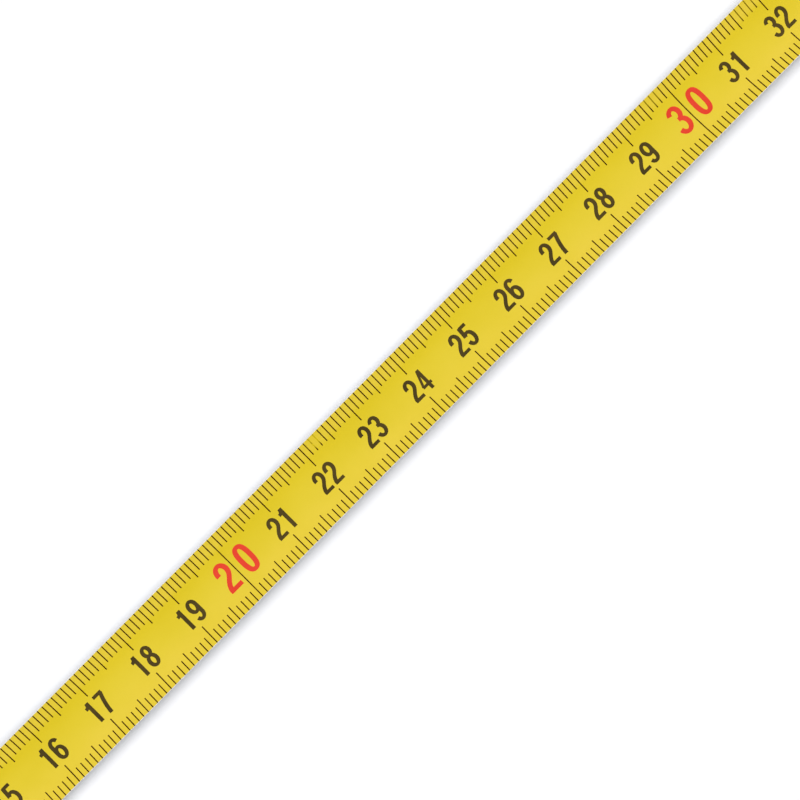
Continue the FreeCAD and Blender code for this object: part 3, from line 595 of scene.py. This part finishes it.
# Each stroke is a middle line in a box one wide and one high; True closes it into a ring, and
# a third entry makes it lighter than the others.
SIX = [(bow((0.5, 0.29), (0.5, 0.29), 0, 360, 28)[:-1], True),
       ([(0.0, 0.29)] + bow((0.5, 0.74), (0.5, 0.26), 180, 22), False)]
STROKES = {
    "0": [(barrel(), True)],
    "1": [([(0.60, -0.075), (0.60, 1.075)], False),
          (sweep_line((0.60, 1.06), (0.54, 0.90), (0.42, 0.83), (0.02, 0.825)), False)],
    "2": [(bow((0.5, 0.735), (0.5, 0.265), 193, -12)
           + sweep_line((0.98, 0.66), (0.88, 0.44), (0.12, 0.34), (0.02, 0.0))[1:], False),
          ([(-0.19, 0.0), (1.19, 0.0)], False)],
    "3": [(bow((0.47, 0.765), (0.47, 0.235), 168, -90), False),
          (bow((0.47, 0.27), (0.53, 0.27), 98, -168), False)],
    "4": [([(0.76, -0.07), (0.76, 1.07)], False, 0.88),
          ([(-0.18, 0.235), (1.22, 0.235)], False, 0.88),
          ([(0.68, 1.04), (-0.10, 0.24)], False, 0.66)],
    "5": [([(0.1, 1.0), (1.07, 1.0)], False), ([(0.14, 1.06), (0.03, 0.50)], False),
          (bow((0.47, 0.325), (0.53, 0.325), 143, -165), False)],
    "6": SIX,
    "7": [([(-0.17, 1.0), (1.17, 1.0)], False),
          (sweep_line((1.0, 1.0), (0.74, 0.72), (0.40, 0.42), (0.34, -0.075)), False)],
    "8": [(bow((0.5, 0.77), (0.44, 0.23), 0, 360, 28)[:-1], True),
          (bow((0.5, 0.27), (0.5, 0.27), 0, 360, 28)[:-1], True)],
    "9": [([(1 - x, 1 - y) for x, y in line], ring) for line, ring in SIX],
}


def figure_faces(sign, wide, tall, stem, bar):
    """A flat figure centred on its own middle: upright strokes stem wide, level ones bar."""
    verts, quads = [], []
    for line, ring, *lighter in STROKES[sign]:
        weight = lighter[0] if lighter else 1
        spots = [Vector(((x - 0.5) * (wide - stem), (y - 0.5) * (tall - bar)))
                 for x, y in line]
        count = len(spots)
        base = len(verts)
        for k, spot in enumerate(spots):
            before = spots[(k - 1) % count] if ring or k else spot
            after = spots[(k + 1) % count] if ring or k < count - 1 else spot
            way = (after - before).normalized()
            out = Vector((-way.y * stem / 2, way.x * bar / 2)) * weight
            verts += [spot + out, spot - out]
        for k in range(count if ring else count - 1):
            a, b = base + 2 * k, base + 2 * ((k + 1) % count)
            quads.append((a, a + 1, b + 1, b))
    spots, _, faces, _, _, owners = delaunay_2d_cdt(verts, [], quads, 1, 1e-8)
    return spots, [f for f, owner in zip(faces, owners) if owner]


def print_figures(name, body, place, signs, ink, bands):
    """Lays flat figures on a surface as closed slabs of ink.

    Each sign is (figure, across, up, wide, tall, stem, bar); place gives the surface's point
    for (across, up, height), and bands are the heights at which a curved face needs a cut.
    """
    flat = bmesh.new()
    for sign, across, raised, *size in signs:
        spots, faces = figure_faces(sign, *size)
        made = [flat.verts.new((across + p.x, raised + p.y, 0)) for p in spots]
        for face in faces:
            flat.faces.new([made[k] for k in face])
    for cut in bands:
        bmesh.ops.bisect_plane(flat, geom=flat.verts[:] + flat.edges[:] + flat.faces[:],
                               plane_co=(0, cut, 0), plane_no=(0, 1, 0), dist=1e-9)
    flat.verts.index_update()
    count = len(flat.verts)
    verts = [place(v.co.x, v.co.y, ink_high) for v in flat.verts]
    verts += [place(v.co.x, v.co.y, -ink_high) for v in flat.verts]
    faces = []
    for face in flat.faces:
        face.normal_update()
        ring = [corner.index for corner in face.verts]
        if face.normal.z < 0:
            ring.reverse()
        faces += [tuple(ring), tuple(k + count for k in reversed(ring))]
        for a, b in zip(ring, ring[1:] + ring[:1]):
            flat.verts.ensure_lookup_table()
            edge = flat.edges.get((flat.verts[a], flat.verts[b]))
            if len(edge.link_faces) == 1:
                faces.append((b, a, a + count, b + count))
    flat.free()
    piece = new_piece(name, verts, faces, ink, body)
    return piece


# Wide, tall, upright stroke and level stroke; then how far each row sits off the middle.
BLACK_SIZE = (1.94 * MM, 3.88 * MM, 0.65 * MM, 0.55 * MM)
RED_SIZE = (2.62 * MM, 5.14 * MM, 0.84 * MM, 0.72 * MM)
black_off, red_off = -0.25 * MM, -0.07 * MM
black_step = 2.26 * MM                           # from figure to figure
tens_back, nought_on = 1.89 * MM, 2.31 * MM      # red figures before and after their line
black_signs, red_signs = [], []
for number in range(1, last_mark // 10 + 1):
    reading = number * 10 * MM
    if number % 10:
        row = str(number)
        for place_in_row, sign in enumerate(row):
            off = (place_in_row - (len(row) - 1) / 2) * black_step
            black_signs.append((sign, reading + off, black_off, *BLACK_SIZE))
    else:
        red_signs.append((str(number // 10), reading - tens_back, red_off, *RED_SIZE))
        red_signs.append(("0", reading + nought_on, red_off, *RED_SIZE))

bands = [k * 0.4 * MM for k in range(-7, 8)]
print_figures("centimetre_figures", "blade", on_blade, black_signs, black_ink, bands)
print_figures("ten_figures", "blade", on_blade, red_signs, red_ink, bands)


# ----------------------------------------------------------------------------
# End hook.  Bent from one strip of steel, nickel plated, and held under the blade by two
# rivets in long holes, so that it slides by its own thickness.
# ----------------------------------------------------------------------------

NICKEL, DULL_NICKEL, BARE_STEEL = (0.74, 0.72, 0.68), (0.70, 0.68, 0.645), (0.50, 0.48, 0.45)


def dress(node, material):
    """Gives a carried-over part its finish."""
    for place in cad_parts[node].material_slots:
        place.material = material


hook_nickel = finish("hook_nickel", NICKEL, DULL_NICKEL, 0.27, 0.06, patches=300, grains=2600,
                     bump=0.003, metallic=1.0, marks=0.8, worn=(BARE_STEEL, 0.25, 0.8),
                     brushed=(1.2, 0.05, 1.2))
rivet_nickel = finish("rivet_nickel", NICKEL, DULL_NICKEL, 0.24, 0.10, patches=900,
                      grains=3000, bump=0.003, metallic=1.0, worn=(BARE_STEEL, 0.15, 0.6))
dress("end_hook", hook_nickel)
dress("hook_rivets", rivet_nickel)


# ----------------------------------------------------------------------------
# Spool.  Natural acetal drum and snapped-on cover, with the rest of the lacquered blade wound
# round it and the blued power spring inside; two thin washers let it turn on the axle post.
# ----------------------------------------------------------------------------

acetal = finish("natural_acetal", (0.80, 0.79, 0.74), (0.74, 0.73, 0.67), 0.42, 0.10,
                patches=120, grains=2000, bump=0.004)
blued_spring = finish("blued_spring", (0.10, 0.13, 0.20), (0.20, 0.17, 0.15), 0.28, 0.12,
                      patches=260, metallic=1.0, brushed=(1, 0.05, 1))
coil_lacquer = finish("coil_lacquer", YELLOW, (0.66, 0.50, 0.012), 0.55, 0.06, patches=200,
                      grains=1500, bump=0.002, specular=0.3)
for node in ("spool", "spool_cover", "spool_washers", "axle_post"):
    dress(node, acetal)
dress("power_spring", blued_spring)
dress("blade_coil", coil_lacquer)


# ----------------------------------------------------------------------------
# Case.  Two yellow ABS shells, spark-textured, that meet in a fine groove along the middle
# and are drawn together by four countersunk screws.
# ----------------------------------------------------------------------------

def shell_joint(tree, place):
    """The groove where the halves meet, as a fine dark line."""
    away = reckon(tree, "ABSOLUTE", axis_of(tree, place, "Y"))
    line = rise(tree, away, 0.16 * MM, 0.07 * MM)
    return reckon(tree, "MULTIPLY", line, 0.85), (0.030, 0.022, 0.006)


case_yellow = finish("case_yellow", (0.82, 0.56, 0.018), (0.76, 0.50, 0.014), 0.40, 0.08,
                     patches=45, grains=1700, bump=0.012, specular=0.45, marks=0.7,
                     worn=((0.90, 0.72, 0.16), 0.5, 0.5))
overlay(case_yellow, shell_joint)
zinc = finish("zinc_screw", (0.46, 0.45, 0.43), (0.30, 0.29, 0.28), 0.34, 0.16, patches=700,
              metallic=1.0, worn=((0.72, 0.71, 0.69), 0.15, 0.8), brushed=(0.2, 1, 1))
dress("case_right", case_yellow)
dress("case_left", case_yellow)
dress("case_screws", zinc)


# ----------------------------------------------------------------------------
# Grips.  Soft black overmould that wraps the back and top corner of both shells, with cross
# grooves for the palm.
# ----------------------------------------------------------------------------

grip_black = finish("grip_black", (0.030, 0.030, 0.032), (0.017, 0.017, 0.019), 0.72, 0.16,
                    patches=70, grains=1500, bump=0.020, specular=0.35, marks=0.5,
                    worn=((0.065, 0.064, 0.062), 0.6, 0.8))
case_low, case_high = (Vector(corner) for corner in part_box("case_right"))
corner_radius = 15.0 * MM
groove_radius, groove_deep, groove_long, groove_pitch = 0.85 * MM, 0.5 * MM, 15 * MM, 2.9 * MM
first_groove = 18.5 * MM                         # above the base


def groove_tree():
    """Cuts a skin with round bars set up its back, round its corner and along its top."""
    tree, add, link, sizes = open_tree(
        "palm_grooves", Geometry=("Skin",), Int=("Back Count", "Corner Count", "Top Count"),
        Float=("Groove Radius", "Groove Length", "Pitch", "Back", "Low", "Corner X",
               "Corner Z", "Corner Radius"), Material=("Rubber",))

    def vector(**parts):
        node = add("ShaderNodeCombineXYZ")
        for axis, term in parts.items():
            feed(tree, node.inputs[axis.upper()], term)
        return node.outputs[0]

    def row(start, step, count):
        node = add("GeometryNodeMeshLine")
        for word, term in (("Count", count), ("Start Location", start), ("Offset", step)):
            link(term, node.inputs[word])
        return node.outputs[0]

    places = add("GeometryNodeJoinGeometry")
    link(row(vector(x=sizes["Back"], z=sizes["Low"]), vector(z=sizes["Pitch"]),
             sizes["Back Count"]), places.inputs[0])
    top = reckon(tree, "ADD", sizes["Corner Z"], sizes["Corner Radius"])
    inward = reckon(tree, "MULTIPLY", sizes["Pitch"], -1.0)
    link(row(vector(x=sizes["Corner X"], z=top), vector(x=inward), sizes["Top Count"]),
         places.inputs[0])
    bend = add("GeometryNodeCurveArc")
    bend.mode = "RADIUS"
    bend.inputs["Start Angle"].default_value = math.radians(9)
    bend.inputs["Sweep Angle"].default_value = math.radians(72)
    link(sizes["Corner Radius"], bend.inputs["Radius"])
    spots = add("GeometryNodeCurveToPoints")
    link(bend.outputs["Curve"], spots.inputs["Curve"])
    link(sizes["Corner Count"], spots.inputs["Count"])
    raised = add("GeometryNodeTransform")
    raised.inputs["Rotation"].default_value = (math.pi / 2, 0, 0)
    link(vector(x=sizes["Corner X"], z=sizes["Corner Z"]), raised.inputs["Translation"])
    link(spots.outputs["Points"], raised.inputs["Geometry"])

    bar = add("GeometryNodeMeshCylinder")
    bar.inputs["Vertices"].default_value = 16
    link(sizes["Groove Radius"], bar.inputs["Radius"])
    link(sizes["Groove Length"], bar.inputs["Depth"])
    cutters = add("GeometryNodeJoinGeometry")
    for points in (places.outputs[0], raised.outputs[0]):
        placed = copies(tree, points, bar.outputs["Mesh"], (math.pi / 2, 0, 0))
        link(placed.outputs[0], cutters.inputs[0])
    real = add("GeometryNodeRealizeInstances")
    link(cutters.outputs[0], real.inputs[0])
    cut = add("GeometryNodeMeshBoolean")
    cut.operation, cut.solver = "DIFFERENCE", "EXACT"
    link(sizes["Skin"], cut.inputs["Mesh 1"])
    link(real.outputs[0], cut.inputs["Mesh 2"])
    return close_tree(tree, cut.outputs["Mesh"], sizes["Rubber"])


def merged_copy(node):
    """The mesh of a carried-over part with its loose triangles joined."""
    mesh = bpy.data.meshes.new(node + "_skin")
    made = bmesh.new()
    made.from_mesh(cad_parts[node].data)
    bmesh.ops.remove_doubles(made, verts=made.verts[:], dist=1e-6)
    made.to_mesh(mesh)
    made.free()
    return mesh


grooves = groove_tree()
stand_off = groove_radius - groove_deep
for side in ("right", "left"):
    skin = made_by(grooves, "grooved_grip_" + side, "case", merged_copy("grip_" + side),
                   groove_radius=groove_radius, groove_length=groove_long,
                   pitch=groove_pitch, back=case_high.x + stand_off, low=first_groove,
                   corner_x=case_high.x - corner_radius,
                   corner_z=case_high.z - corner_radius,
                   corner_radius=corner_radius + stand_off, back_count=8, corner_count=7,
                   top_count=6, rubber=grip_black)
    skin.data.shade_smooth()
    skin.data.set_sharp_from_angle(angle=math.radians(35))
    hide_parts("grip_" + side)


# ----------------------------------------------------------------------------
# Label.  A turned aluminium disc, brushed round and lacquered, glued in a shallow seat on the
# side away from the clip; its raised rim guards the printed length and width of the blade.
# ----------------------------------------------------------------------------

axle = Vector((5.5 * MM, 0, 29.679 * MM))
label_low, label_high = (Vector(corner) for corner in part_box("label_plate"))
label_radius = (label_high.x - label_low.x) / 2
label_face = label_low.y + 0.18 * MM             # sunk, so that the ink is below the rim


def lathe(profile, centre, count=96):
    """A closed solid turned round a line along Y; the profile is (radius, y) points."""
    verts, faces = [], []
    for radius, y in profile:
        for k in range(count):
            angle = 2 * math.pi * k / count
            verts.append((centre.x + radius * math.cos(angle), y,
                          centre.z + radius * math.sin(angle)))
    for row in range(len(profile) - 1):
        for k in range(count):
            near, far = row * count + k, row * count + (k + 1) % count
            faces.append((near, far, far + count, near + count))
    faces.append(tuple(reversed(range(count))))
    faces.append(tuple(range(len(verts) - count, len(verts))))
    return verts, faces


def outward(piece):
    """Turns every face of a closed piece outwards."""
    made = bmesh.new()
    made.from_mesh(piece.data)
    bmesh.ops.recalc_face_normals(made, faces=made.faces[:])
    made.to_mesh(piece.data)
    made.free()


label_metal = finish("label_metal", (0.70, 0.70, 0.70), (0.665, 0.665, 0.67), 0.30, 0.04,
                     patches=120, grains=2400, bump=0.002, metallic=1.0, marks=0.5)


def turned_lines(material, centre):
    """Adds brushing lines that run round a centre to the height of a finish."""
    tree = material.node_tree
    place = next(n for n in tree.nodes if n.type == "TEX_COORD").outputs["Object"]
    flat = stretched(tree, place, (1, 0, 1), shift=(-centre.x, 0, -centre.z))
    reach = tree.nodes.new("ShaderNodeVectorMath")
    reach.operation = "LENGTH"
    tree.links.new(flat, reach.inputs[0])
    ring = tree.nodes.new("ShaderNodeCombineXYZ")
    tree.links.new(reach.outputs["Value"], ring.inputs["X"])
    lines = cloud(tree, ring.outputs[0], 2600.0, 4.0)
    shader = tree.nodes["Principled BSDF"]
    dent = shader.inputs["Normal"].links[0].from_node
    raw = dent.inputs["Height"].links[0].from_socket
    tree.links.new(reckon(tree, "MULTIPLY_ADD", lines, 5.0, raw), dent.inputs["Height"])
    rough = shader.inputs["Roughness"].links[0].from_socket
    tree.links.new(reckon(tree, "MULTIPLY_ADD", lines, 0.16, rough), shader.inputs["Roughness"])


turned_lines(label_metal, axle)
# Back edge, rounded rim, step down to the face, and a fine ring turned in it.
LABEL_PROFILE = [(label_radius - inward * MM, y) for inward, y in (
    (0, label_high.y), (0, label_low.y + 0.25 * MM), (0.1, label_low.y + 0.08 * MM),
    (0.3, label_low.y), (1.1, label_low.y), (1.35, label_face), (2.1, label_face),
    (2.2, label_face + 0.1 * MM), (2.45, label_face + 0.1 * MM), (2.55, label_face))]
LABEL_PROFILE.append((0.5 * MM, label_face))
plate = new_piece("turned_label", *lathe(LABEL_PROFILE, axle), label_metal, "case", 20)
outward(plate)
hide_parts("label_plate")


def on_label(across, up, height):
    """A point of the label's face, from its centre."""
    return Vector((axle.x + across, label_face - height, axle.z + up))


STROKES["m"] = [([(0.0, -0.1), (0.0, 1.08)], False),
                ([(0.0, 0.62)] + bow((0.25, 0.62), (0.25, 0.38), 180, 0) + [(0.5, -0.1)], False),
                (bow((0.75, 0.62), (0.25, 0.38), 180, 0) + [(1.0, -0.1)], False)]
label_signs = [
    ("3", -4.6 * MM, 2.4 * MM, 6.0 * MM, 11.0 * MM, 1.75 * MM, 1.55 * MM),
    ("m", 4.4 * MM, 0.2 * MM, 8.2 * MM, 6.6 * MM, 1.55 * MM, 1.4 * MM),
]
for sign, across, wide, tall in (("1", -5.0, 1.9, 3.8), ("3", -2.6, 1.9, 3.8),
                                 ("m", 1.25, 2.9, 2.5), ("m", 5.0, 2.9, 2.5)):
    label_signs.append((sign, across * MM, (-7.2 - (3.8 - tall) / 2) * MM, wide * MM, tall * MM,
                        0.58 * MM, 0.5 * MM))
label_ink = finish("label_ink", (0.020, 0.020, 0.021), (0.014, 0.014, 0.015), 0.45, 0.1,
                   patches=300, grains=3000, bump=0.002)
marking = print_figures("label_figures", "case", on_label, label_signs, label_ink, [])
outward(marking)


# ----------------------------------------------------------------------------
# Lock.  A black slide with a ribbed thumb button on the leaning front; pushed down, it presses
# its rubber pad onto the blade.  A sprung steel strip holds it at either end.
# ----------------------------------------------------------------------------

lock_black = finish("lock_black", (0.032, 0.032, 0.034), (0.020, 0.020, 0.022), 0.48, 0.12,
                    patches=110, grains=1900, bump=0.010, marks=0.5,
                    worn=((0.085, 0.084, 0.080), 0.4, 0.8))
pad_rubber = finish("pad_rubber", (0.045, 0.044, 0.043), (0.028, 0.028, 0.027), 0.70, 0.12,
                    patches=150, grains=1500, bump=0.012)
for node in ("lock_slider", "lock_button", "mouth_guide"):
    dress(node, lock_black)
for node in ("brake_pad", "mouth_bumper"):
    dress(node, pad_rubber)
dress("lock_detent", blued_spring)


def rib_tree():
    """Low rounded ribs in an even row: stretched balls, a few dozen faces each."""
    tree, add, link, sizes = open_tree(
        "thumb_ribs", Vector=("Start", "Step", "Rib Size"), Int=("Count",),
        Material=("Plastic",))
    row = add("GeometryNodeMeshLine")
    for word, name in (("Count", "Count"), ("Start Location", "Start"), ("Offset", "Step")):
        link(sizes[name], row.inputs[word])
    ball = add("GeometryNodeMeshUVSphere")
    ball.inputs["Segments"].default_value, ball.inputs["Rings"].default_value = 12, 8
    ball.inputs["Radius"].default_value = 1.0
    placed = copies(tree, row.outputs[0], ball.outputs["Mesh"])
    link(sizes["Rib Size"], placed.inputs["Scale"])
    return close_tree(tree, placed.outputs[0], sizes["Plastic"])


lean = math.radians(20)
up_front = Vector((math.sin(lean), 0, math.cos(lean)))
off_front = Vector((-math.cos(lean), 0, math.sin(lean)))
button_face = 2.95 * MM                          # from the case's front to the button's face
front_foot = Vector((case_low.x, 0, 12.03 * MM))
rib_count, rib_step, rib_round, rib_half = 5, 1.75 * MM, 0.45 * MM, 4.0 * MM
button_up, rib_sunk = 16 * MM, 0.05 * MM         # the button's middle along the front
rib_centre = front_foot + up_front * button_up + off_front * (button_face - rib_sunk)
ribs = made_by(rib_tree(), "thumb_ribs", "lock",
               start=rib_centre - up_front * (rib_count - 1) / 2 * rib_step,
               step=up_front * rib_step, rib_size=(rib_round, rib_half, rib_round),
               count=rib_count, plastic=lock_black)
ribs.data.shade_smooth()


# ----------------------------------------------------------------------------
# Belt clip.  One strip of spring steel, nickel plated, bent to stand off the case and nip it
# again near its foot, and screwed into a brass insert.
# ----------------------------------------------------------------------------

root_low, root_high = (Vector(corner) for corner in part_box("belt_clip_root"))
arm_low = Vector(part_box("belt_clip_arm")[0])
strip_half, strip_deep, strip_corner = 7.0 * MM, 0.9 * MM, 2.8 * MM
bend_reach, facet_long, edge_soft = 1.3 * MM, 0.6 * MM, 0.12 * MM
side_y = root_low.y
CLIP_LINE = [(0.0, root_high.z / MM), (0.0, 36.45), (2.4, 32.5), (2.0, 14.5), (0.4, 10.5),
             (2.4, arm_low.z / MM)]              # stand-off and height of the inner face


def eased(corners, radius, count=5):
    """A line through corners, each rounded by a short quadratic bend."""
    line = [Vector(corners[0])]
    for before, corner, after in zip(corners, corners[1:], corners[2:]):
        before, corner, after = Vector(before), Vector(corner), Vector(after)
        start = corner + (before - corner).normalized() * radius
        end = corner + (after - corner).normalized() * radius
        for k in range(count + 1):
            u = k / count
            line.append(start * (1 - u) ** 2 + corner * 2 * u * (1 - u) + end * u * u)
    return line + [Vector(corners[-1])]


bent = eased([(side_y + off * MM, z * MM) for off, z in CLIP_LINE], bend_reach)
fine = []
for start, end in zip(bent, bent[1:]):
    parts = max(1, round((end - start).length / facet_long))
    fine += [start.lerp(end, k / parts) for k in range(parts)]
fine.append(bent[-1])
run = [0.0]
for start, end in zip(fine, fine[1:]):
    run.append(run[-1] + (end - start).length)
rings = []
for index, spot in enumerate(fine):
    way = (fine[min(index + 1, len(fine) - 1)] - fine[max(index - 1, 0)]).normalized()
    out_way = Vector((-way.y, way.x))
    if out_way.x < 0:
        out_way = -out_way
    near_end = min(run[index], run[-1] - run[index], strip_corner)
    half = strip_half - strip_corner + math.sqrt(
        strip_corner ** 2 - (strip_corner - near_end) ** 2)
    inner, outer = [], []
    for k in range(13):
        across = -half + 2 * half * k / 12
        soft = edge_soft if k in (0, 12) else 0.0
        inner.append((axle.x + across, spot.x + soft * out_way.x, spot.y + soft * out_way.y))
        outer.append((axle.x + across, spot.x + (strip_deep - soft) * out_way.x,
                      spot.y + (strip_deep - soft) * out_way.y))
    rings.append(inner + outer[::-1])

clip_nickel = finish("clip_nickel", NICKEL, DULL_NICKEL, 0.24, 0.05, patches=90, grains=2400,
                     bump=0.003, metallic=1.0, marks=0.9, worn=(BARE_STEEL, 0.12, 0.5),
                     brushed=(1.2, 1.2, 0.05))
verts, faces = prism(rings)
mesh = bpy.data.meshes.new("belt_clip")
mesh.from_pydata([tuple(v) for v in verts], [], faces)
mesh.materials.append(clip_nickel)
mesh.shade_smooth()
mesh.set_sharp_from_angle(angle=math.radians(40))
clip = bpy.data.objects.new("bent_belt_clip", mesh)
scene.collection.objects.link(clip)
outward(clip)
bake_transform(clip)
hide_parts("belt_clip_root", "belt_clip_arm")

brass = finish("turned_brass", (0.80, 0.60, 0.26), (0.66, 0.47, 0.18), 0.30, 0.1, patches=400,
               metallic=1.0)
dress("clip_insert", brass)
dress("clip_screw", zinc)
